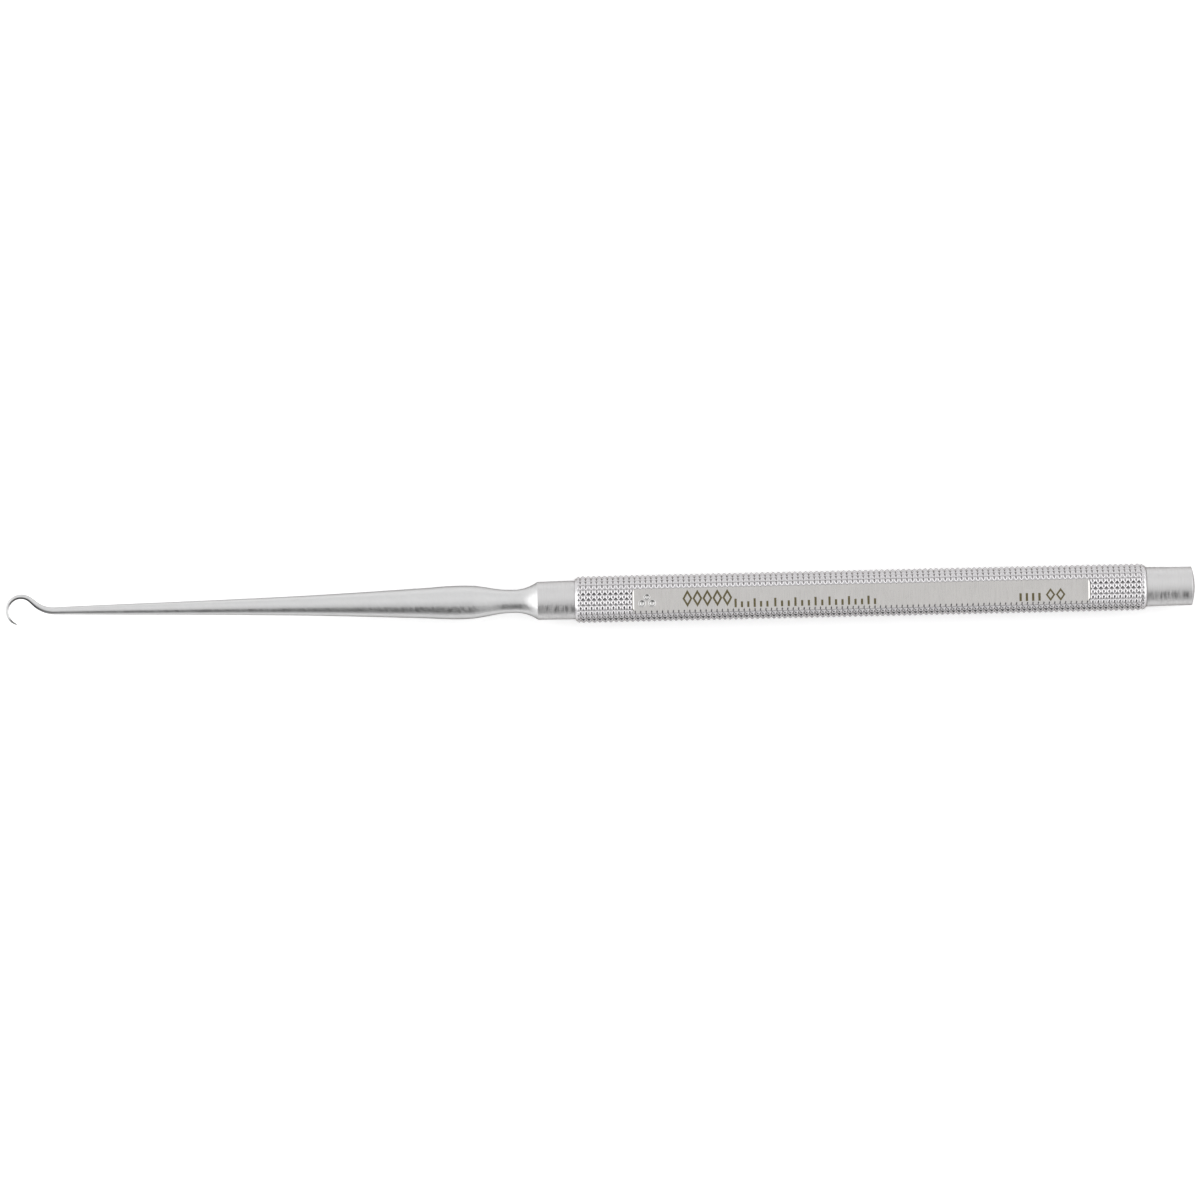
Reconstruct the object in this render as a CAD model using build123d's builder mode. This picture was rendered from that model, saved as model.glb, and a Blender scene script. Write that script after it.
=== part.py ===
"""Single-prong surgical hook with a hollow knurled handle. Millimetres.

+X runs along the handle towards the tail, +Z is up. The instrument lies at rest on z = 0 with its
milled flat on top, the hook curling in the horizontal plane through the axis. The origin is under
the middle of its length.
"""
from build123d import *
import os
from math import cos, pi, radians, sin

os.makedirs("parts", exist_ok=True)

# Handle barrel: tube with 25 rows of knurl round it
knurl_rows = 25
knurl_peak_radius = 3.29
knurl_root_radius = 3.0
barrel_front = -3.45
barrel_rear = 75.75
barrel_bore_radius = 2.0
barrel_front_chamfer = 0.3
barrel_rear_chamfer_length = 0.7
barrel_rear_chamfer_depth = 0.5
socket_radius = 2.25
socket_depth = 7.5
mouth_chamfer = 0.3

# Milled flat for marking
flat_height = 2.65
flat_margin = 8.0

# Shank, with its collar and tang
collar_length = 5.2
collar_front_radius = 2.64
collar_rear_radius = 2.685
flare_length = 3.25
neck_radius = 1.595
braze_gap = 0.02
tang_length = 7.3
tang_chamfer = 0.4

# Hook
hook_radius = 1.984
hook_centre_x = -80.3015
hook_lift = 0.23
hook_tip_angle = 252.3
hook_leave_angle = 48.7
hook_run = 0.87
bend_radius = 4.0
tip_radius = 0.07

# Tail plug
tail_length = 6.75
tail_shoulder_radius = 2.74
tail_radius = 2.685
tail_taper_length = 3.0
tail_dome = 0.42
tail_edge_radius = 0.12
spigot_length = 7.3

# The barrel lies on two neighbouring rows of knurl
row_angle = 2 * pi / knurl_rows
axis_height = knurl_peak_radius * cos(row_angle / 2)

barrel_length = barrel_rear - barrel_front
collar_front = barrel_front - collar_length
neck = collar_front - flare_length
tail_end = barrel_rear + tail_length


def across(x):
    """Plane square to the handle's axis at x, with its local x along Y and local y along Z."""
    return Plane(origin=(x, 0, axis_height), x_dir=(0, 1, 0), z_dir=(1, 0, 0))


# Profiles to be turned are drawn with local x along the axis and local y outward.
turning = Plane(origin=(0, 0, axis_height), x_dir=(1, 0, 0), z_dir=(0, -1, 0))
turning_axis = Axis((0, 0, axis_height), (1, 0, 0))


# ---------------------------------------------------------------- hook and shank
# Radii of the shank, each at its distance in front of the neck
shank_stations = [
    (0.0, neck_radius),
    (0.8, 1.62),
    (1.7, 1.67),
    (2.5, 1.785),
    (3.3, 1.92),
    (4.6, 2.14),
    (5.8, 2.29),
    (7.5, 2.335),
    (9.2, 2.295),
    (11.7, 2.14),
    (15.8, 1.945),
    (20.0, 1.745),
    (29.7, 1.355),
    (43.6, 0.965),
    (56.5, 0.68),
    (61.5, 0.56),
]
bend_end_radius = 0.5

# Centre line of the hook: arc round to the leave angle, straight run, reverse bend into the shank
leave = radians(hook_leave_angle)
heading = leave - pi / 2
hook_centre = Vector(hook_centre_x, hook_lift)
run_start = hook_centre + Vector(cos(leave), sin(leave)) * hook_radius
run_end = run_start + Vector(cos(heading), sin(heading)) * hook_run
bend_centre = run_end + Vector(-sin(heading), cos(heading)) * bend_radius


def on_hook(angle):
    """Point and heading of the hook's arc at an angle in degrees, travelling clockwise."""
    turn = radians(angle)
    point = hook_centre + Vector(cos(turn), sin(turn)) * hook_radius
    return point, turn - pi / 2


def on_bend(turned):
    """Point and heading on the reverse bend, where turned runs from 0 to 1."""
    direction = heading * (1 - turned)
    point = bend_centre + Vector(sin(direction), -cos(direction)) * bend_radius
    return point, direction


# Stations of the hook's wire: point, heading and radius, from the tip to the shank
hook_stations = [
    (*on_hook(hook_tip_angle), tip_radius),
    (*on_hook(238), 0.115),
    (*on_hook(218), 0.155),
    (*on_hook(196), 0.19),
    (*on_hook(172), 0.225),
    (*on_hook(148), 0.258),
    (*on_hook(122), 0.285),
    (*on_hook(96), 0.306),
    (*on_hook(72), 0.322),
    (run_start, heading, 0.337),
    (run_end, heading, 0.385),
    (*on_bend(0.5), 0.44),
    (*on_bend(1), bend_end_radius),
]


def wire_plane(point, direction):
    """Plane square to the wire of the hook at a point, travelling along a heading."""
    return Plane(
        origin=(point.X, point.Y, axis_height),
        x_dir=(0, 0, 1),
        z_dir=(cos(direction), sin(direction), 0),
    )


# The shank's centre line meets the end of the bend a little to one side of the handle's axis
bend_end = on_bend(1)[0]
bend_end_distance = neck - bend_end.X
shank_slope = bend_end.Y / bend_end_distance
shank_stations.append((bend_end_distance, bend_end_radius))

with BuildPart() as hook_shank:
    for point, direction, radius in hook_stations:
        with BuildSketch(wire_plane(point, direction)):
            Circle(radius)
    loft()
    for distance, radius in shank_stations:
        with BuildSketch(wire_plane(Vector(neck - distance, shank_slope * distance), 0)):
            Circle(radius)
    loft()
    with BuildSketch(turning):
        with BuildLine():
            flare = TangentArc(
                (neck, neck_radius),
                (collar_front, collar_front_radius),
                tangent=(1, 0),
            )
            Polyline(
                flare @ 1,
                (barrel_front, collar_rear_radius),
                (barrel_front, socket_radius - braze_gap),
                (barrel_front + tang_length - tang_chamfer, socket_radius - braze_gap),
                (barrel_front + tang_length, socket_radius - braze_gap - tang_chamfer),
                (barrel_front + tang_length, 0),
                (neck, 0),
                flare @ 0,
            )
        make_face()
    revolve(axis=turning_axis)
hook_shank.part.label = "hook_shank"
export_step(hook_shank.part, "parts/hook_shank.step")


# ---------------------------------------------------------------- handle barrel
with BuildPart() as handle_barrel:
    with BuildSketch(across(barrel_front)):
        with BuildLine():
            Polyline(
                *[
                    (radius * sin(angle), -radius * cos(angle))
                    for row in range(knurl_rows)
                    for radius, angle in (
                        (knurl_root_radius, row * row_angle),
                        (knurl_peak_radius, (row + 0.5) * row_angle),
                    )
                ],
                close=True,
            )
        make_face()
    extrude(amount=barrel_length)
    # Both ends are turned down to a chamfer
    with BuildSketch(turning):
        Polygon(
            (barrel_front, 0),
            (barrel_front, knurl_peak_radius - barrel_front_chamfer),
            (barrel_front + barrel_front_chamfer, knurl_peak_radius),
            (barrel_rear - barrel_rear_chamfer_length, knurl_peak_radius),
            (barrel_rear, knurl_peak_radius - barrel_rear_chamfer_depth),
            (barrel_rear, 0),
            align=None,
        )
    revolve(axis=turning_axis, mode=Mode.INTERSECT)
    # Flat milled between the two knurled ends
    with Locations(((barrel_front + barrel_rear) / 2, 0, axis_height + flat_height)):
        Box(
            barrel_length - 2 * flat_margin,
            2 * knurl_peak_radius,
            knurl_peak_radius,
            align=(Align.CENTER, Align.CENTER, Align.MIN),
            mode=Mode.SUBTRACT,
        )
    # Bore, with a socket and a chamfered mouth at each end
    with BuildSketch(turning):
        Polygon(
            (barrel_front, 0),
            (barrel_front, socket_radius + mouth_chamfer),
            (barrel_front + mouth_chamfer, socket_radius),
            (barrel_front + socket_depth, socket_radius),
            (barrel_front + socket_depth, barrel_bore_radius),
            (barrel_rear - socket_depth, barrel_bore_radius),
            (barrel_rear - socket_depth, socket_radius),
            (barrel_rear - mouth_chamfer, socket_radius),
            (barrel_rear, socket_radius + mouth_chamfer),
            (barrel_rear, 0),
            align=None,
        )
    revolve(axis=turning_axis, mode=Mode.SUBTRACT)
handle_barrel.part.label = "handle_barrel"
export_step(handle_barrel.part, "parts/handle_barrel.step")


# ---------------------------------------------------------------- tail plug
dome_edge = tail_end - tail_dome

with BuildPart() as tail_plug:
    with BuildSketch(turning):
        with BuildLine():
            dome = TangentArc((tail_end, 0), (dome_edge, tail_radius), tangent=(0, 1))
            Polyline(
                dome @ 0,
                (barrel_rear - spigot_length, 0),
                (barrel_rear - spigot_length, socket_radius - braze_gap - tang_chamfer),
                (barrel_rear - spigot_length + tang_chamfer, socket_radius - braze_gap),
                (barrel_rear, socket_radius - braze_gap),
                (barrel_rear, tail_shoulder_radius),
                (barrel_rear + tail_taper_length, tail_radius),
                dome @ 1,
            )
        make_face()
    revolve(axis=turning_axis)
    fillet(
        tail_plug.edges().filter_by_position(Axis.X, dome_edge - 0.01, dome_edge + 0.01),
        tail_edge_radius,
    )
tail_plug.part.label = "tail_plug"
export_step(tail_plug.part, "parts/tail_plug.step")


# ---------------------------------------------------------------- braze rings
def braze_ring(mouth_x, inward):
    """Ring of silver braze that fills the chamfer of a socket's mouth; inward is +1 or -1 along X."""
    with BuildPart() as ring:
        with BuildSketch(turning):
            Polygon(
                (mouth_x, socket_radius - braze_gap),
                (mouth_x, socket_radius + mouth_chamfer),
                (mouth_x + inward * mouth_chamfer, socket_radius),
                (mouth_x + inward * mouth_chamfer, socket_radius - braze_gap),
                align=None,
            )
        revolve(axis=turning_axis)
    return ring


front_braze_ring = braze_ring(barrel_front, 1)
front_braze_ring.part.label = "front_braze_ring"
export_step(front_braze_ring.part, "parts/front_braze_ring.step")

rear_braze_ring = braze_ring(barrel_rear, -1)
rear_braze_ring.part.label = "rear_braze_ring"
export_step(rear_braze_ring.part, "parts/rear_braze_ring.step")
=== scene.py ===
import math

import bmesh
import bpy
import numpy as np
from mathutils import Matrix, Vector


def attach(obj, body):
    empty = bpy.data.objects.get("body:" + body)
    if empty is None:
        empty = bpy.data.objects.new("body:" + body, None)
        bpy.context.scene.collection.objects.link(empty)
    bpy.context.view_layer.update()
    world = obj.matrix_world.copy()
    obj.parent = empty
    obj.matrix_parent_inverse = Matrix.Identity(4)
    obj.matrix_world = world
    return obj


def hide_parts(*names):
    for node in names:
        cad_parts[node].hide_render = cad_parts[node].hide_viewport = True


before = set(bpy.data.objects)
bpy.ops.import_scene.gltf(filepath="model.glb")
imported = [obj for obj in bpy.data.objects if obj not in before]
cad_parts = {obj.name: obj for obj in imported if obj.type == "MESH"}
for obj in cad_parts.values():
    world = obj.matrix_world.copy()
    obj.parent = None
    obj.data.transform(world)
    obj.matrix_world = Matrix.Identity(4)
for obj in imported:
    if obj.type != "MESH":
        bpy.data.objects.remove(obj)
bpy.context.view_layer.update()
MM = 0.001

# ------------------------------------------------------------------ sizes, in millimetres, as in the CAD
ROWS = 25
PEAK_R, ROOT_R = 3.29, 3.0
AXIS_Z = PEAK_R * math.cos(math.pi / ROWS)
BARREL_FRONT, BARREL_REAR = -3.45, 75.75
BORE_R, SOCKET_R, SOCKET_DEPTH, MOUTH = 2.0, 2.25, 7.5, 0.3
FLAT = 2.65
FLAT_Z = AXIS_Z + FLAT
FLAT_MARGIN = 8.0
FLAT_START, FLAT_END = BARREL_FRONT + FLAT_MARGIN, BARREL_REAR - FLAT_MARGIN

COLLAR_LENGTH, FLARE_LENGTH = 5.2, 3.25
COLLAR_FRONT_R, COLLAR_REAR_R, NECK_R = 2.64, 2.685, 1.595
TANG_R, TANG_LENGTH, TANG_CHAMFER = 2.23, 7.3, 0.4
COLLAR_FRONT = BARREL_FRONT - COLLAR_LENGTH
NECK = COLLAR_FRONT - FLARE_LENGTH

HOOK_R, HOOK_X, HOOK_Y = 1.984, -80.3015, 0.23
TIP_ANGLE, LEAVE_ANGLE = 252.3, 48.7
HOOK_RUN, BEND_R = 0.87, 4.0

TAIL_LENGTH, TAIL_SHOULDER_R, TAIL_R, TAIL_TAPER = 6.75, 2.74, 2.685, 3.0
TAIL_DOME, TAIL_EDGE = 0.42, 0.12
TAIL_END = BARREL_REAR + TAIL_LENGTH

# Radii of the hook's wire at distances from its tip, then at the ends and the middle of its stretches
TIP_STATIONS = (
    (0.0, 0.02), (0.16, 0.07), (0.5, 0.115), (1.2, 0.155), (1.95, 0.19), (2.78, 0.225),
    (3.61, 0.258), (4.51, 0.285), (5.41, 0.306), (6.24, 0.322),
)
ARC_END_R, RUN_END_R, MID_BEND_R, BEND_END_R = 0.337, 0.385, 0.44, 0.5

# Radii of the shank at distances in front of the neck
SHANK_STATIONS = (
    (0.0, NECK_R), (0.8, 1.62), (1.7, 1.67), (2.5, 1.785), (3.3, 1.92), (4.6, 2.14), (5.8, 2.29),
    (7.5, 2.335), (9.2, 2.295), (11.7, 2.14), (15.8, 1.945), (20.0, 1.745), (29.7, 1.355),
    (43.6, 0.965), (56.5, 0.68), (61.5, 0.56),
)

# ------------------------------------------------------------------ sizes of detail that the CAD leaves out
# Small rounds on the edges of the collar and of the tail's shoulder
SHARP_EDGE, FLARE_EDGE = 0.04, 0.05

# Painted shade on the hook, in rings from the tip: the tip, darkened all round and darker inside, until it
# has faded out; then the inner side, which fades in along the curl and fades out from the bend's start on
SHADE_TIP_END, SHADE_TIP_FADE = 28, 12
TIP_ROUND, TIP_INNER = 0.55, 0.35
SHADE_START, SHADE_RISE, SHADE_FADE = 46, 20, 30
# The inner side starts where a direction points inward by SIDE_FROM, and is full SIDE_FADE further in
SIDE_FROM, SIDE_FADE = 0.12, 0.25

# Mesh lines of the tail, as distances in front of its edge
EDGE_LINES = (1.5, 0.5)

# Knurl: pyramids with soft edges, and the mesh lines that cross each of them
COLUMNS = 105
KNURL_PITCH = (BARREL_REAR - BARREL_FRONT) / COLUMNS
ROW_STEP = 2 * math.pi / ROWS
ROW_PHASE = math.radians(4.2)
FLANK = 1.35
PEAK_SOFT, GROOVE_SOFT, EDGE_SOFT = 0.22, 0.08, 0.12
CELL_LINES = tuple(f if f <= 0.5 else f - 1 for f in (0.0, 0.12, 0.3, 0.5, 0.7, 0.88))

# Chamfers of the barrel's ends: distances from the end and depths under the peaks, then extra mesh lines
FRONT_CHAMFER = ((0.0, 0.3, 0.52), (0.42, 0.27, 0.0))
REAR_CHAMFER = ((0.0, 0.3, 0.7), (0.52, 0.24, 0.0))
FRONT_LINES, REAR_LINES = (0.0, 0.15, 0.3, 0.52), (0.0, 0.12, 0.3, 0.7)
# Mesh lines closer than this to the line before them, or to the flat's ends, are left out
LINE_GAP, WALL_GAP = 0.02, 0.04

# End walls of the flat: how far they lean for each unit of height, how far from the flat's ends faces are
# trimmed to them, and a bevel in the corner under them, as distance into the flat, height and half width
WALL_LEAN = 0.25
WALL_REACH = 0.5
BEVEL = ((0.184, -0.02, 1.5), (-0.042, 0.17, 1.1), (-0.14, 0.17, 1.1), (-0.14, -0.02, 1.5))

# Punched dots: their middle on the flat, each dot's place and radius, and the profile of a dot as
# fractions of its radius and heights above the flat
STAMP_X, STAMP_Y = 6.5, -0.15
STAMP_DOTS = ((-0.7, -0.32, 0.53), (0.7, -0.32, 0.53), (0.0, 0.56, 0.45))
STAMP_PROFILE = ((0.92, 0.03), (0.82, 0.02), (0.74, -0.06), (0.58, -0.17), (0.34, -0.22))

# Laser marks: depth in the flat and height above it; rows of lozenges as first x, y, step, count, half
# width, half height and line width, which LINE_SLANT widens along the half width; rows of ruled bars as
# first x, last x and count
MARK_DEPTH, MARK_HEIGHT = 0.004, 0.006
LARGE_LOZENGES = (12.1, 0.08, 1.38, 5, 0.68, 1.2, 0.27)
SMALL_LOZENGES = (62.35, -0.54, 1.4, 2, 0.66, 0.9, 0.26)
RULED_BARS = ((18.75, 23.15, 6), (24.25, 30.75, 8), (31.75, 38.05, 8))
LINE_SLANT = 1.1
RULED_FOOT, RULED_TALL, RULED_SHORT, RULED_WIDTH = -1.3, 1.2, 0.8, 0.3
PLAIN_X, PLAIN_STEP, PLAIN_COUNT = 58.2, 0.87, 4
PLAIN_FOOT, PLAIN_TALL, PLAIN_WIDTH = -1.36, 1.1, 0.32

# Steps of the meshes, round the pieces and along them
WIRE_SEGMENTS, TAIL_SEGMENTS, BORE_SEGMENTS, STAMP_SEGMENTS = 56, 96, 72, 40
ARC_STEPS, RUN_STEPS, BEND_STEPS, SHANK_STEPS, FLARE_STEPS, COLLAR_STEPS = 120, 12, 24, 240, 29, 10
TAPER_STEPS, DOME_STEPS = 6, 24

# Vertices this close to a plane lie in it
NEAR, LEVEL_NEAR = 1e-4, 2e-5


# ------------------------------------------------------------------ mesh helpers
def mesh_piece(name, bm, sharp_degrees):
    """Turns a bmesh in millimetres into a piece in the frame, in metres, creased between its slots."""
    bmesh.ops.recalc_face_normals(bm, faces=bm.faces[:])
    bm.edges.index_update()
    creases = [
        e.index for e in bm.edges
        if len(e.link_faces) == 2 and e.link_faces[0].material_index != e.link_faces[1].material_index
    ]
    bmesh.ops.scale(bm, vec=(MM, MM, MM), verts=bm.verts[:])
    mesh = bpy.data.meshes.new(name)
    bm.to_mesh(mesh)
    bm.free()
    for polygon in mesh.polygons:
        polygon.use_smooth = True
    mesh.set_sharp_from_angle(angle=math.radians(sharp_degrees))
    for index in creases:
        mesh.edges[index].use_edge_sharp = True
    piece = bpy.data.objects.new(name, mesh)
    bpy.context.scene.collection.objects.link(piece)
    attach(piece, "root")
    return piece


def ring_grid(bm, rings):
    """Skins rings of equal counts of points with quads and returns the rings' vertices."""
    made = [[bm.verts.new(p) for p in ring] for ring in rings]
    for a, b in zip(made, made[1:]):
        count = len(a)
        for i in range(count):
            j = (i + 1) % count
            bm.faces.new((a[i], a[j], b[j], b[i]))
    return made


def circle(x, r, segments, y=0.0, heading=0.0):
    """Points of a circle square to a heading in the XY plane, at the height of the axis."""
    side = Vector((-math.sin(heading), math.cos(heading), 0))
    middle = Vector((x, y, AXIS_Z))
    return [
        middle + side * (r * math.sin(2 * math.pi * i / segments))
        + Vector((0, 0, r * math.cos(2 * math.pi * i / segments)))
        for i in range(segments)
    ]


def rounded(corner, before, after, radius, steps=4):
    """Points of a round at a corner of a profile."""
    c, a, b = Vector(corner), Vector(before), Vector(after)
    u, v = (a - c).normalized(), (b - c).normalized()
    reach = min(radius / math.tan(u.angle(v) / 2), 0.45 * (a - c).length, 0.45 * (b - c).length)
    fractions = [k / steps for k in range(steps + 1)]
    return [tuple(c + u * reach * (1 - t) ** 2 + v * reach * t**2) for t in fractions]


def smooth_profile(stations):
    """Monotone cubic through (position, value) stations, as a function."""
    xs = np.array([s[0] for s in stations], float)
    ys = np.array([s[1] for s in stations], float)
    h = np.diff(xs)
    d = np.diff(ys) / h
    m = np.zeros(len(xs))
    m[0], m[-1] = d[0], d[-1]
    for i in range(1, len(xs) - 1):
        if d[i - 1] * d[i] > 0:
            w1, w2 = 2 * h[i] + h[i - 1], h[i] + 2 * h[i - 1]
            m[i] = (w1 + w2) / (w1 / d[i - 1] + w2 / d[i])

    def value(x):
        i = int(np.clip(np.searchsorted(xs, x) - 1, 0, len(h) - 1))
        t = (x - xs[i]) / h[i]
        return float(
            (1 + 2 * t) * (1 - t) ** 2 * ys[i] + t * (1 - t) ** 2 * h[i] * m[i]
            + t * t * (3 - 2 * t) * ys[i + 1] + t * t * (t - 1) * h[i] * m[i + 1]
        )

    return value


def divided(a, b, count):
    """Points that divide the line from a to b into equal parts, without its ends."""
    return [(a[0] + (b[0] - a[0]) * k / count, a[1] + (b[1] - a[1]) * k / count) for k in range(1, count)]


def fraction(value):
    """Value held between 0 and 1."""
    return min(1.0, max(0.0, value))


# ------------------------------------------------------------------ hook and shank
def hook_rings():
    """Rings of the wire as (point, heading, radius), from the tip to the end of the reverse bend."""
    heading = math.radians(LEAVE_ANGLE) - math.pi / 2
    ahead = Vector((math.cos(heading), math.sin(heading)))

    def on_hook(angle):
        turn = math.radians(angle)
        point = Vector((HOOK_X, HOOK_Y)) + Vector((math.cos(turn), math.sin(turn))) * HOOK_R
        return point, turn - math.pi / 2

    run_start = on_hook(LEAVE_ANGLE)[0]
    bend_centre = run_start + ahead * HOOK_RUN + Vector((-ahead.y, ahead.x)) * BEND_R

    def on_bend(turned):
        direction = heading * (1 - turned)
        return bend_centre + Vector((math.sin(direction), -math.cos(direction))) * BEND_R, direction

    arc = math.radians(TIP_ANGLE - LEAVE_ANGLE) * HOOK_R
    bend = abs(heading) * BEND_R
    radius = smooth_profile([
        *TIP_STATIONS, (arc, ARC_END_R), (arc + HOOK_RUN, RUN_END_R),
        (arc + HOOK_RUN + bend / 2, MID_BEND_R), (arc + HOOK_RUN + bend, BEND_END_R),
    ])
    rings = []
    for k in range(ARC_STEPS + 1):
        s = arc * k / ARC_STEPS
        rings.append((*on_hook(TIP_ANGLE - math.degrees(s / HOOK_R)), radius(s)))
    for k in range(1, RUN_STEPS + 1):
        s = HOOK_RUN * k / RUN_STEPS
        rings.append((run_start + ahead * s, heading, radius(arc + s)))
    for k in range(1, BEND_STEPS + 1):
        rings.append((*on_bend(k / BEND_STEPS), radius(arc + HOOK_RUN + bend * k / BEND_STEPS)))
    return rings


def shank_rings(bend_end):
    """Rings of the shank from the end of the bend, a little to one side of the axis, to the neck."""
    length = NECK - bend_end.x
    slope = bend_end.y / length
    radius = smooth_profile([*SHANK_STATIONS, (length, BEND_END_R)])
    xs = [bend_end.x + length * k / SHANK_STEPS for k in range(1, SHANK_STEPS + 1)]
    return [(Vector((x, slope * (NECK - x))), 0.0, radius(NECK - x)) for x in xs]


def collar_profile():
    """Profile of the concave flare, the collar and the tang as (x, radius) points."""
    rise = COLLAR_FRONT_R - NECK_R
    flare_r = (FLARE_LENGTH**2 + rise**2) / (2 * rise)
    turns = [2 * math.atan2(rise, FLARE_LENGTH) * k / FLARE_STEPS for k in range(1, FLARE_STEPS)]
    profile = [(NECK + flare_r * math.sin(turn), NECK_R + flare_r * (1 - math.cos(turn))) for turn in turns]
    front, rear = (COLLAR_FRONT, COLLAR_FRONT_R), (BARREL_FRONT, COLLAR_REAR_R)
    profile += rounded(front, profile[-1], rear, FLARE_EDGE)
    profile += divided(front, rear, COLLAR_STEPS)
    profile += rounded(rear, front, (BARREL_FRONT, TANG_R), SHARP_EDGE)
    tang_end = BARREL_FRONT + TANG_LENGTH
    profile += [
        (BARREL_FRONT, TANG_R), (tang_end - TANG_CHAMFER, TANG_R), (tang_end, TANG_R - TANG_CHAMFER),
    ]
    return profile


def painted_shade_amount(ring, inward):
    """How far painted shade darkens the wire at a ring counted from the tip; inward is 1 on the inside of the
    curl.
    """
    side = fraction((inward - SIDE_FROM) / SIDE_FADE)
    shade_end = ARC_STEPS + 1 + RUN_STEPS + SHADE_FADE
    along = fraction((shade_end - ring) / SHADE_FADE) * fraction((ring - SHADE_START) / SHADE_RISE)
    tip = fraction((SHADE_TIP_END - ring) / SHADE_TIP_FADE)
    return max(along * side, tip * (TIP_ROUND + TIP_INNER * side))


def build_hook_shank():
    rings = hook_rings()
    rings += shank_rings(rings[-1][0])
    rings += [(Vector((x, 0)), 0.0, r) for x, r in collar_profile()]
    bm = bmesh.new()
    # painted shade on the wire: this layer darkens it inside the curl and at the tip
    shade_layer = bm.verts.layers.float.new("painted_shade")
    made = ring_grid(bm, [circle(p.x, r, WIRE_SEGMENTS, p.y, heading) for p, heading, r in rings])
    bm.faces.new(made[0])
    bm.faces.new(made[-1])
    for k, ring in enumerate(made):
        for i, vert in enumerate(ring):
            vert[shade_layer] = painted_shade_amount(k, -math.sin(2 * math.pi * i / WIRE_SEGMENTS))
    for face in bm.faces:
        if face.calc_center_median().x > COLLAR_FRONT:
            face.material_index = 1
    return mesh_piece("hook_and_shank", bm, 28)


# ------------------------------------------------------------------ tail
def build_tail():
    sphere_r = (TAIL_R**2 + TAIL_DOME**2) / (2 * TAIL_DOME)
    rim = math.asin(TAIL_R / sphere_r)
    turns = [rim * (1 - k / DOME_STEPS) for k in range(2, DOME_STEPS)]
    dome = [(TAIL_END - sphere_r * (1 - math.cos(turn)), sphere_r * math.sin(turn)) for turn in turns]
    edge = TAIL_END - TAIL_DOME
    before_edge = [(edge - distance, TAIL_R) for distance in EDGE_LINES]
    spigot = BARREL_REAR - TANG_LENGTH
    shoulder, taper_end = (BARREL_REAR, TAIL_SHOULDER_R), (BARREL_REAR + TAIL_TAPER, TAIL_R)

    profile = [(spigot, TANG_R - TANG_CHAMFER), (spigot + TANG_CHAMFER, TANG_R), (BARREL_REAR, TANG_R)]
    profile += rounded(shoulder, (BARREL_REAR, TANG_R), taper_end, SHARP_EDGE)
    profile += divided(shoulder, taper_end, TAPER_STEPS)
    profile += [taper_end, *before_edge]
    profile += rounded((edge, TAIL_R), before_edge[-1], dome[0], TAIL_EDGE, 6)
    profile += dome

    bm = bmesh.new()
    made = ring_grid(bm, [circle(x, r, TAIL_SEGMENTS) for x, r in profile])
    bm.faces.new(made[0])
    tip = bm.verts.new((TAIL_END, 0, AXIS_Z))
    last = made[-1]
    for i in range(TAIL_SEGMENTS):
        bm.faces.new((last[i], last[(i + 1) % TAIL_SEGMENTS], tip))
    return mesh_piece("tail", bm, 28)


# ------------------------------------------------------------------ knurled barrel
def knurl_height(x, angle):
    """Height of the knurl above its root, from 0 to 1, at x and at an angle about the axis."""
    along = (x - BARREL_FRONT) / KNURL_PITCH - 0.5
    turned = (angle - ROW_PHASE) / ROW_STEP
    a = 2 * np.abs(along - np.round(along))
    b = 2 * np.abs(turned - np.round(turned))
    high = 0.5 * (a + b + np.sqrt((a - b) ** 2 + EDGE_SOFT**2))
    slope = FLANK * (1 - high)
    land = 0.5 * (1 + slope - np.sqrt((1 - slope) ** 2 + PEAK_SOFT**2))
    return np.clip(0.5 * (land + np.sqrt(land**2 + GROOVE_SOFT**2)), 0, 1)


def barrel_limit(x):
    """Largest radius that the chamfered ends leave."""
    front = np.interp(x - BARREL_FRONT, FRONT_CHAMFER[0], [PEAK_R - depth for depth in FRONT_CHAMFER[1]])
    rear = np.interp(BARREL_REAR - x, REAR_CHAMFER[0], [PEAK_R - depth for depth in REAR_CHAMFER[1]])
    return np.minimum(front, rear)


def knurl_lines():
    """Positions of the mesh's rings: in each cell of the knurl, in the chamfers and at the flat's ends."""
    lines = [BARREL_FRONT + KNURL_PITCH * (c + 0.5 + f) for c in range(COLUMNS) for f in CELL_LINES]
    lines += [BARREL_FRONT + x for x in FRONT_LINES]
    lines += [BARREL_REAR - x for x in REAR_LINES]
    kept = [BARREL_FRONT]
    for x in sorted(x for x in lines if BARREL_FRONT <= x <= BARREL_REAR):
        if x - kept[-1] > LINE_GAP:
            kept.append(x)
    kept[-1] = BARREL_REAR
    kept = [x for x in kept if abs(x - FLAT_START) > WALL_GAP and abs(x - FLAT_END) > WALL_GAP]
    return np.array(sorted(kept + [FLAT_START, FLAT_END]))


def skin(bm, points, like, first, last):
    """Skins the knurl from ring first to ring last; like tells which way a cell's quads are split."""
    count = points.shape[1]
    rings = [[bm.verts.new(tuple(p)) for p in ring] for ring in points[first:last + 1]]
    for i, (a, b) in enumerate(zip(rings, rings[1:]), first):
        for j in range(count):
            k = (j + 1) % count
            if like[i, j]:
                bm.faces.new((a[j], a[k], b[k]))
                bm.faces.new((a[j], b[k], b[j]))
            else:
                bm.faces.new((a[j], a[k], b[j]))
                bm.faces.new((a[k], b[k], b[j]))
    return rings


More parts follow.
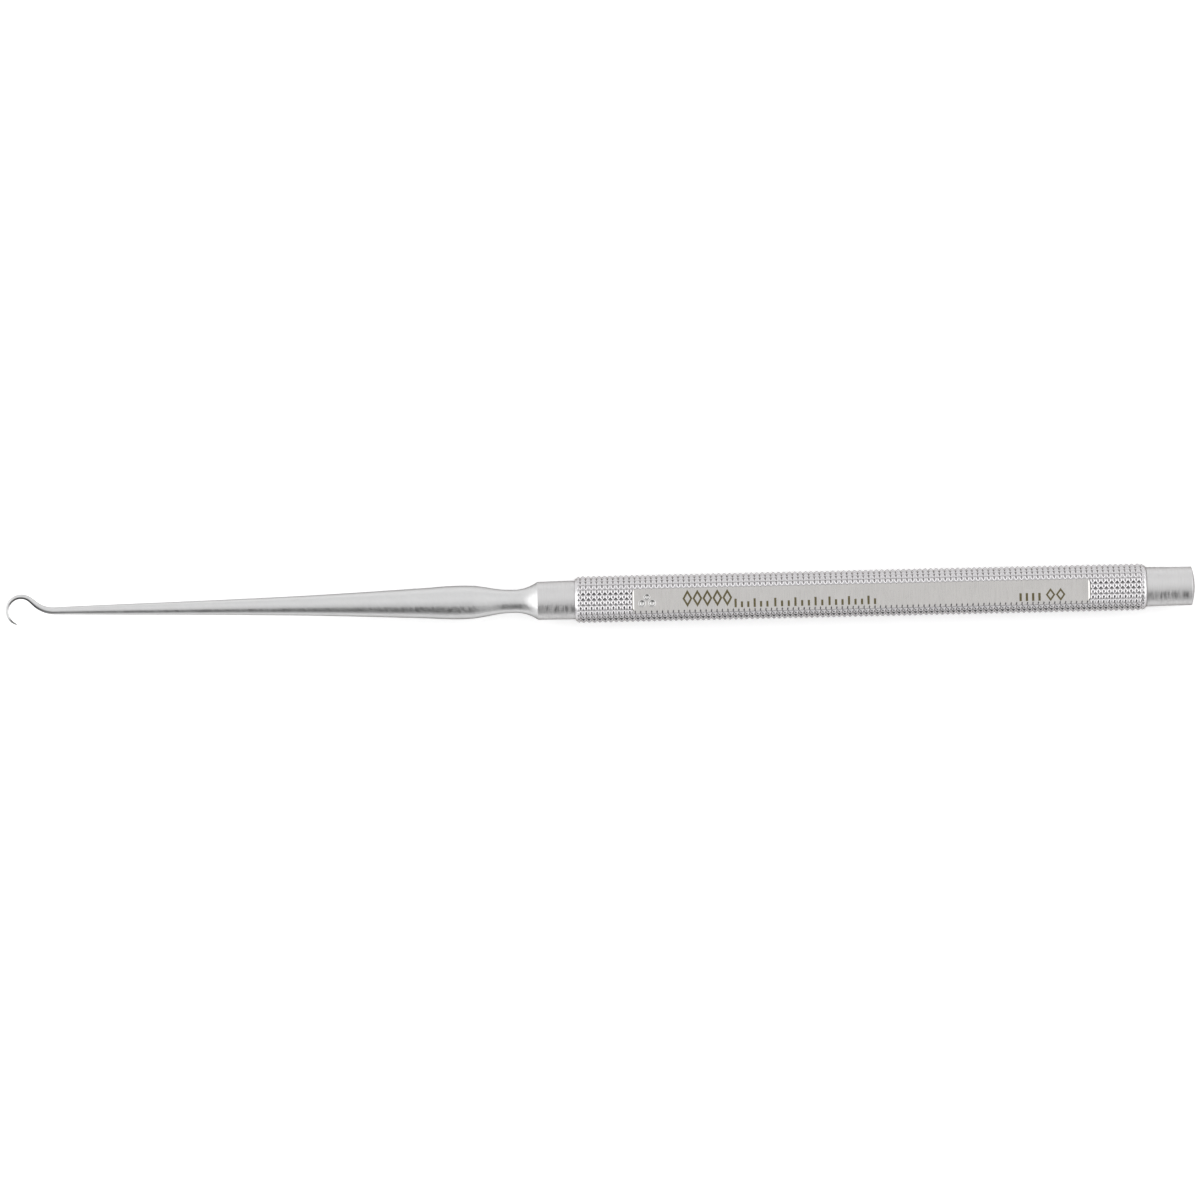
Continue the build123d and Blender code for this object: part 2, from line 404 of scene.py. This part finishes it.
def knurled_skin(bm):
    """Skins the whole knurl, its triangles split along the ridges of the pyramids.

    Returns the rings of the front pad, of the stretch with the flat and of the rear pad.
    """
    xs = knurl_lines()
    angles = np.array([ROW_PHASE + ROW_STEP * (r + f) for r in range(ROWS) for f in CELL_LINES])
    angles = np.sort(np.mod(angles, 2 * math.pi))
    x, angle = np.meshgrid(xs, angles, indexing="ij")
    r = np.minimum(ROOT_R + (PEAK_R - ROOT_R) * knurl_height(x, angle), barrel_limit(x))
    points = np.stack((x, -r * np.sin(angle), AXIS_Z + r * np.cos(angle)), axis=-1)

    along = ((xs[:-1] + xs[1:]) / 2 - BARREL_FRONT) / KNURL_PITCH - 0.5
    following = np.roll(angles, -1)
    following[-1] += 2 * math.pi
    turned = ((angles + following) / 2 - ROW_PHASE) / ROW_STEP
    like = np.equal.outer(along > np.round(along), turned > np.round(turned))

    first, last = [int(np.argmin(abs(xs - end))) for end in (FLAT_START, FLAT_END)]
    spans = ((0, first), (first, last), (last, len(xs) - 1))
    return [skin(bm, points, like, i0, i1) for i0, i1 in spans]


def faces_of(bm, rings):
    """Faces whose vertices all belong to the rings."""
    inside = set(v for ring in rings for v in ring)
    return [f for f in bm.faces if all(v in inside for v in f.verts)]


def cut(bm, faces, point, normal, clear, near):
    """Cuts faces at a plane and, if clear, drops what lies beyond it."""
    edges = set(e for f in faces for e in f.edges)
    verts = set(v for f in faces for v in f.verts)
    bmesh.ops.bisect_plane(
        bm, geom=[*faces, *edges, *verts], dist=near, plane_co=point, plane_no=normal, clear_outer=clear,
    )


def fill(bm, edges, normal, slot=0):
    """Fills the area inside the edges with triangles of a material slot."""
    made = bmesh.ops.triangle_fill(bm, use_beauty=True, edges=edges, normal=normal)
    for item in made["geom"]:
        if isinstance(item, bmesh.types.BMFace):
            item.material_index = slot


def level(v):
    """Whether a vertex lies in the plane of the flat."""
    return abs(v.co.z - FLAT_Z) < LEVEL_NEAR


def end_wall(bm, x, way):
    """Trims a pad to the leaning end wall that rises from the flat at x, and closes the wall.

    way points into the flat along X.
    """
    def beyond(v):
        return way * (v.co.x - x) + WALL_LEAN * (v.co.z - FLAT_Z)

    outward = (way, 0, WALL_LEAN)
    near = [f for f in bm.faces if 0 < way * (x - f.calc_center_median().x) < WALL_REACH]
    cut(bm, near, (x, 0, FLAT_Z), outward, True, 1e-5)
    rim = [
        e for e in bm.edges
        if e.is_boundary and all(abs(beyond(v)) < NEAR and v.co.z > FLAT_Z - LEVEL_NEAR for v in e.verts)
    ]
    ends = sorted((v for v in set(v for e in rim for v in e.verts) if level(v)), key=lambda v: v.co.y)
    foot = bm.edges.get((ends[0], ends[-1])) or bm.edges.new((ends[0], ends[-1]))
    fill(bm, rim + [foot], outward, 1)


def dot_rim(bm, x, y, r):
    """Vertices and edges of a punched dot's rim in the flat."""
    turns = [2 * math.pi * k / STAMP_SEGMENTS for k in range(STAMP_SEGMENTS)]
    ring = [bm.verts.new((x + r * math.cos(turn), y + r * math.sin(turn), FLAT_Z)) for turn in turns]
    return ring, [bm.edges.new((a, b)) for a, b in zip(ring, ring[1:] + ring[:1])]


def dot_bowl(bm, x, y, rim):
    """Raised lip and hollow of a punched dot inside its rim."""
    previous = rim
    for scale, lift in STAMP_PROFILE:
        ring = [
            bm.verts.new((x + (v.co.x - x) * scale, y + (v.co.y - y) * scale, FLAT_Z + lift)) for v in rim
        ]
        for k in range(STAMP_SEGMENTS):
            j = (k + 1) % STAMP_SEGMENTS
            bm.faces.new((previous[k], previous[j], ring[j], ring[k])).material_index = 2
        previous = ring
    bm.faces.new(previous).material_index = 2


def marked_flat(bm):
    """Fills the flat between the end walls, with the punched dots in it."""
    outline = [
        e for e in bm.edges
        if all(level(v) for v in e.verts) and len(e.link_faces) == 1
        and FLAT_START - 1e-3 <= e.verts[0].co.x <= FLAT_END + 1e-3
    ]
    dots = []
    for dx, dy, r in STAMP_DOTS:
        x, y = STAMP_X + dx, STAMP_Y + dy
        rim, edges = dot_rim(bm, x, y, r)
        dots.append((x, y, rim))
        outline += edges
    fill(bm, outline, (0, 0, 1), 1)
    for x, y, rim in dots:
        dot_bowl(bm, x, y, rim)


def corner_bevel(bm, x, way):
    """Small closed bevel in the corner between the flat and the end wall at x; way is into the flat."""
    left, right = [
        [bm.verts.new((x + way * into, side * half, FLAT_Z + lift)) for into, lift, half in BEVEL]
        for side in (-way, way)
    ]
    bm.faces.new(left)
    bm.faces.new(right[::-1])
    count = len(BEVEL)
    slopes = [
        bm.faces.new((left[(k + 1) % count], left[k], right[k], right[(k + 1) % count])) for k in range(count)
    ]
    slopes[0].material_index = 1


def bore_and_ends(bm):
    """Bore with its sockets and mouths, and the flat ends of the barrel round them."""
    profile = [
        (BARREL_FRONT, SOCKET_R + MOUTH), (BARREL_FRONT + MOUTH, SOCKET_R),
        (BARREL_FRONT + SOCKET_DEPTH, SOCKET_R), (BARREL_FRONT + SOCKET_DEPTH, BORE_R),
        (BARREL_REAR - SOCKET_DEPTH, BORE_R), (BARREL_REAR - SOCKET_DEPTH, SOCKET_R),
        (BARREL_REAR - MOUTH, SOCKET_R), (BARREL_REAR, SOCKET_R + MOUTH),
    ]
    ring_grid(bm, [circle(x, r, BORE_SEGMENTS) for x, r in profile])
    for x in (BARREL_FRONT, BARREL_REAR):
        open_edges = [e for e in bm.edges if len(e.link_faces) == 1]
        fill(bm, [e for e in open_edges if all(abs(v.co.x - x) < NEAR for v in e.verts)], (1, 0, 0))


def build_barrel():
    bm = bmesh.new()
    front_pad, panel, rear_pad = knurled_skin(bm)
    panel_faces = faces_of(bm, panel)
    ends = faces_of(bm, front_pad[-2:]) + faces_of(bm, rear_pad[:2])
    cut(bm, ends, (0, 0, FLAT_Z), (0, 0, 1), False, 1e-6)
    cut(bm, panel_faces, (0, 0, FLAT_Z), (0, 0, 1), True, 1e-6)
    bmesh.ops.remove_doubles(bm, verts=bm.verts[:], dist=1e-5)
    end_wall(bm, FLAT_START, 1)
    end_wall(bm, FLAT_END, -1)
    marked_flat(bm)
    corner_bevel(bm, FLAT_START, 1)
    corner_bevel(bm, FLAT_END, -1)
    bore_and_ends(bm)
    return mesh_piece("knurled_barrel", bm, 62)


# ------------------------------------------------------------------ laser marks on the flat
def slab(bm, points):
    """Thin plate in the flat, from the points of its outline."""
    low = [bm.verts.new((x, y, FLAT_Z - MARK_DEPTH)) for x, y in points]
    high = [bm.verts.new((x, y, FLAT_Z + MARK_HEIGHT)) for x, y in points]
    bm.faces.new(low[::-1])
    bm.faces.new(high)
    count = len(points)
    for i in range(count):
        j = (i + 1) % count
        bm.faces.new((low[i], low[j], high[j], high[i]))


def bar(bm, x, foot, tall, width):
    """Upright bar about x, from its foot."""
    left, right = x - width / 2, x + width / 2
    slab(bm, [(right, foot), (right, foot + tall), (left, foot + tall), (left, foot)])


def lozenges(bm, x, y, step, count, w, h, line):
    """Row of lozenges drawn with a line of a given width."""
    inset = 1 - line / min(w, h) * LINE_SLANT
    corners = ((-w, 0), (0, -h), (w, 0), (0, h))
    for n in range(count):
        middle = x + n * step
        outer = [(middle + dx, y + dy) for dx, dy in corners]
        inner = [(middle + dx * inset, y + dy * inset) for dx, dy in corners]
        for i in range(4):
            j = (i + 1) % 4
            slab(bm, [outer[i], outer[j], inner[j], inner[i]])


def build_marks():
    """Plain lozenges and bars where the instrument has its lettering."""
    bm = bmesh.new()
    lozenges(bm, *LARGE_LOZENGES)
    for x0, x1, count in RULED_BARS:
        for k in range(count):
            tall = RULED_TALL if k % 3 == 0 else RULED_SHORT
            bar(bm, x0 + k * (x1 - x0) / (count - 1), RULED_FOOT, tall, RULED_WIDTH)
    for k in range(PLAIN_COUNT):
        bar(bm, PLAIN_X + k * PLAIN_STEP, PLAIN_FOOT, PLAIN_TALL, PLAIN_WIDTH)
    lozenges(bm, *SMALL_LOZENGES)
    return mesh_piece("laser_marks", bm, 30)


# ------------------------------------------------------------------ materials
# Scale, detail and roughness of the noises
GRAIN, CLOUD, MARK_GRAIN = (5.0, 1.5, 0.5), (420.0, 3.0, 0.6), (5200.0, 3.0, 0.7)
# Share of the mottle that the cloud has, range of the grain that the roughness follows, and the factor that
# painted shade on the hook's steel falls to
CLOUD_SHARE = 0.6
GRAIN_LOW, GRAIN_HIGH = 0.3, 0.7
PAINTED_SHADE_LEVEL = 0.13
# Positions and colours of the laser marks' ramp, and their roughness
MARK_DARK, MARK_LIGHT = (0.3, (0.075, 0.06, 0.024, 1)), (0.72, (0.14, 0.12, 0.056, 1))
MARK_ROUGH = (0.55, 0.75)


def add(tree, kind, inputs, **settings):
    """New shader node; each input is given a value or another node's output."""
    node = tree.nodes.new(kind)
    for name, value in settings.items():
        setattr(node, name, value)
    for key, value in inputs.items():
        if isinstance(value, bpy.types.NodeSocket):
            tree.links.new(value, node.inputs[key])
        else:
            node.inputs[key].default_value = value
    return node


def map_range(tree, value, to_min, to_max, from_min=0.0, from_max=1.0, kind="LINEAR"):
    limits = {"From Min": from_min, "From Max": from_max, "To Min": to_min, "To Max": to_max}
    node = add(tree, "ShaderNodeMapRange", {"Value": value, **limits}, interpolation_type=kind)
    return node.outputs["Result"]


def maths(tree, operation, *values):
    return add(tree, "ShaderNodeMath", dict(enumerate(values)), operation=operation).outputs["Value"]


def noise(tree, vector, scale, detail, rough):
    inputs = {"Vector": vector, "Scale": scale, "Detail": detail, "Roughness": rough}
    return add(tree, "ShaderNodeTexNoise", inputs).outputs["Fac"]


def scaled(tree, vector, factor):
    node = add(tree, "ShaderNodeVectorMath", {0: vector, "Scale": factor}, operation="SCALE")
    return node.outputs["Vector"]


def new_material(name):
    material = bpy.data.materials.new(name)
    material.use_nodes = True
    return material, material.node_tree, material.node_tree.nodes["Principled BSDF"]


def steel(
    name, tint=(0.6, 0.597, 0.592), rough=(0.2, 0.3), streak=(900, 60, 60), turn=0.0, depth=0.00002,
    mottle=0.06, edge=(0.34, 0.32, 0.3), painted_shade=False,
):
    """Bare satin steel with a fine grain.

    The grain runs square to the largest number of streak, turned about Z by turn degrees; depth is its
    depth in metres, rough its least and largest roughness, and mottle how far the tint varies. edge tints
    the reflection at grazing angles. The last flag paints shade into the steel by the mesh's layer of its
    name.
    """
    material, tree, shader = new_material(name)
    place = add(tree, "ShaderNodeTexCoord", {}).outputs["Object"]
    slant = add(
        tree, "ShaderNodeVectorRotate", {"Vector": place, "Angle": math.radians(turn)}, rotation_type="Z_AXIS"
    )
    stretch = add(tree, "ShaderNodeMapping", {"Vector": slant.outputs["Vector"], "Scale": streak})
    lines = noise(tree, stretch.outputs["Vector"], *GRAIN)
    cloud = noise(tree, place, *CLOUD)

    shade = maths(
        tree, "MULTIPLY", map_range(tree, lines, 1 - mottle, 1 + mottle),
        map_range(tree, cloud, 1 - mottle * CLOUD_SHARE, 1 + mottle * CLOUD_SHARE),
    )
    colour = scaled(tree, tint, shade)
    # painted shade: darkens the steel inside the hook's curl and at its tip, by the mesh layer
    if painted_shade:
        layer = add(tree, "ShaderNodeAttribute", {}, attribute_name="painted_shade").outputs["Fac"]
        colour = scaled(tree, colour, map_range(tree, layer, 1.0, PAINTED_SHADE_LEVEL))
    tree.links.new(colour, shader.inputs["Base Color"])
    gloss = map_range(tree, lines, *rough, GRAIN_LOW, GRAIN_HIGH)
    tree.links.new(gloss, shader.inputs["Roughness"])
    bump = add(tree, "ShaderNodeBump", {"Height": lines, "Strength": 1.0, "Distance": depth})
    tree.links.new(bump.outputs["Normal"], shader.inputs["Normal"])
    shader.inputs["Metallic"].default_value = 1.0
    shader.inputs["Specular Tint"].default_value = (*edge, 1)
    return material


def laser_mark():
    """Olive-brown, slightly grainy surface of laser marks."""
    material, tree, shader = new_material("laser_mark")
    place = add(tree, "ShaderNodeTexCoord", {}).outputs["Object"]
    grain = noise(tree, place, *MARK_GRAIN)
    ramp = add(tree, "ShaderNodeValToRGB", {"Fac": grain})
    for stop, (position, colour) in zip(ramp.color_ramp.elements, (MARK_DARK, MARK_LIGHT)):
        stop.position = position
        stop.color = colour
    tree.links.new(ramp.outputs["Color"], shader.inputs["Base Color"])
    tree.links.new(map_range(tree, grain, *MARK_ROUGH), shader.inputs["Roughness"])
    shader.inputs["Metallic"].default_value = 0.35
    return material


# ------------------------------------------------------------------ pieces
turned = steel(
    "turned_steel", tint=(0.569, 0.564, 0.566), rough=(0.28, 0.6), streak=(1250, 130, 130), depth=0.00002,
    edge=(0.14, 0.125, 0.115),
)
# the drawn steel is darkened by painted shade inside the hook's curl and at its tip
drawn = steel(
    "drawn_steel", tint=(0.579, 0.579, 0.581), rough=(0.28, 0.46), streak=(900, 260, 260), turn=-28,
    depth=0.000012, edge=(0.1, 0.09, 0.08), painted_shade=True,
)
knurled = steel(
    "knurled_steel", tint=(0.562, 0.552, 0.563), rough=(0.13, 0.2), streak=(500, 200, 200), depth=0.000002,
    mottle=0.04,
)
milled = steel(
    "milled_steel", tint=(0.58, 0.566, 0.553), rough=(0.24, 0.32), streak=(1400, 90, 90), depth=0.000006,
    mottle=0.08,
)
stamped = steel("stamped_steel", rough=(0.16, 0.26), streak=(700, 700, 700), depth=0.000004)
braze = steel("silver_braze", tint=(0.68, 0.62, 0.5), rough=(0.3, 0.45), streak=(300, 300, 300))

hook = build_hook_shank()
hook.data.materials.append(drawn)
hook.data.materials.append(turned)
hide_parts("hook_shank")

tail = build_tail()
tail.data.materials.append(turned)
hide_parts("tail_plug")

barrel = build_barrel()
barrel.data.materials.append(knurled)
barrel.data.materials.append(milled)
barrel.data.materials.append(stamped)
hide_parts("handle_barrel")

marks = build_marks()
marks.data.materials.append(laser_mark())

for node in ("front_braze_ring", "rear_braze_ring"):
    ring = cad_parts[node]
    ring.data.materials.clear()
    ring.data.materials.append(braze)


# ------------------------------------------------------------------ floor, light, camera
FLOOR_HALF, FLOOR_GREY, FLOOR_ROUGH, FLOOR_GLOW = 4.0, 0.94, 0.8, 0.22

# Brightness of the light tent at each angle from the zenith, in degrees, on the -Y side when positive
TENT_STOPS = (
    (-110, 0.84), (-90, 0.84), (-45, 0.9), (-20, 0.92), (-10, 0.86), (-3, 0.74), (10, 0.74), (15, 0.84),
    (20, 0.84), (25, 0.1), (68, 0.08), (76, 0.5), (95, 0.56), (120, 0.7), (178, 0.9),
)
TENT_STRENGTH = 1.25
# A white card covers the tent's dark stretch on the +X side, by the X part of a direction
CARD_FROM, CARD_TO, CARD_LEVEL = 0.18, 0.36, 0.8
# Lights beyond both ends of the handle, by the X part of a direction, weaker where its Y part is large
END_FROM, END_TO, END_LEVEL = 0.54, 0.7, 1.75
ASIDE_FROM, ASIDE_TO, ASIDE_SHARE = 0.4, 0.65, 0.35

VIEW_TILT, VIEW_ROLL = math.radians(5.0), math.radians(1.315)
VIEW_DISTANCE, VIEW_WIDTH = 1.0, 0.16649
AIM = Vector((0.0, -0.000087, AXIS_Z * MM))
SENSOR_WIDTH = 36.0


def build_floor():
    """Plain matt white floor, slightly lit from within so that it stays white beside the instrument."""
    bm = bmesh.new()
    bmesh.ops.create_grid(bm, x_segments=8, y_segments=8, size=FLOOR_HALF)
    mesh = bpy.data.meshes.new("floor")
    bm.to_mesh(mesh)
    bm.free()
    floor = bpy.data.objects.new("floor", mesh)
    bpy.context.scene.collection.objects.link(floor)
    material, _, shader = new_material("floor_white")
    shader.inputs["Base Color"].default_value = (FLOOR_GREY, FLOOR_GREY, FLOOR_GREY, 1)
    shader.inputs["Roughness"].default_value = FLOOR_ROUGH
    shader.inputs["Specular IOR Level"].default_value = 0.0
    shader.inputs["Emission Color"].default_value = (1, 1, 1, 1)
    shader.inputs["Emission Strength"].default_value = FLOOR_GLOW
    floor.data.materials.append(material)


def build_tent():
    """Light tent round the instrument: bright, with one dark stretch along it on the -Y side."""
    world = bpy.data.worlds.new("studio")
    bpy.context.scene.world = world
    world.use_nodes = True
    tree = world.node_tree
    direction = add(tree, "ShaderNodeTexCoord", {}).outputs["Generated"]
    part = add(tree, "ShaderNodeSeparateXYZ", {"Vector": direction}).outputs
    angle = maths(tree, "ARCTAN2", maths(tree, "MULTIPLY", part["Y"], -1.0), part["Z"])
    ramp = add(tree, "ShaderNodeValToRGB", {"Fac": map_range(tree, angle, 0.0, 1.0, -math.pi, math.pi)})
    stops = ramp.color_ramp.elements
    stops.remove(stops[1])
    stops[0].position = 0.0
    stops[0].color = (1, 1, 1, 1)
    for degrees, brightness in TENT_STOPS:
        stops.new((degrees + 180) / 360).color = (brightness, brightness, brightness, 1)
    card = map_range(tree, part["X"], 0.0, CARD_LEVEL, CARD_FROM, CARD_TO, "SMOOTHSTEP")
    tent = maths(tree, "MAXIMUM", ramp.outputs["Color"], card)
    end = map_range(tree, maths(tree, "ABSOLUTE", part["X"]), 0.0, 1.0, END_FROM, END_TO, "SMOOTHSTEP")
    aside = map_range(
        tree, maths(tree, "ABSOLUTE", part["Y"]), 1.0, ASIDE_SHARE, ASIDE_FROM, ASIDE_TO, "SMOOTHSTEP"
    )
    light = map_range(tree, maths(tree, "MULTIPLY", end, aside), tent, END_LEVEL)
    background = tree.nodes["Background"]
    tree.links.new(light, background.inputs["Color"])
    background.inputs["Strength"].default_value = TENT_STRENGTH


def place_camera():
    """Camera above the instrument, tilted towards +Y, that sees the whole length."""
    camera = bpy.data.objects.new("camera", bpy.data.cameras.new("camera"))
    bpy.context.scene.collection.objects.link(camera)
    camera.data.sensor_width = SENSOR_WIDTH
    camera.data.lens = SENSOR_WIDTH * VIEW_DISTANCE / VIEW_WIDTH
    camera.location = AIM + Vector((0, math.sin(VIEW_TILT), math.cos(VIEW_TILT))) * VIEW_DISTANCE
    tilt, roll = Matrix.Rotation(-VIEW_TILT, 4, "X"), Matrix.Rotation(-VIEW_ROLL, 4, "Z")
    camera.rotation_euler = (tilt @ roll).to_euler()
    bpy.context.scene.camera = camera


build_floor()
build_tent()
place_camera()
bpy.context.scene.view_settings.view_transform = "Standard"
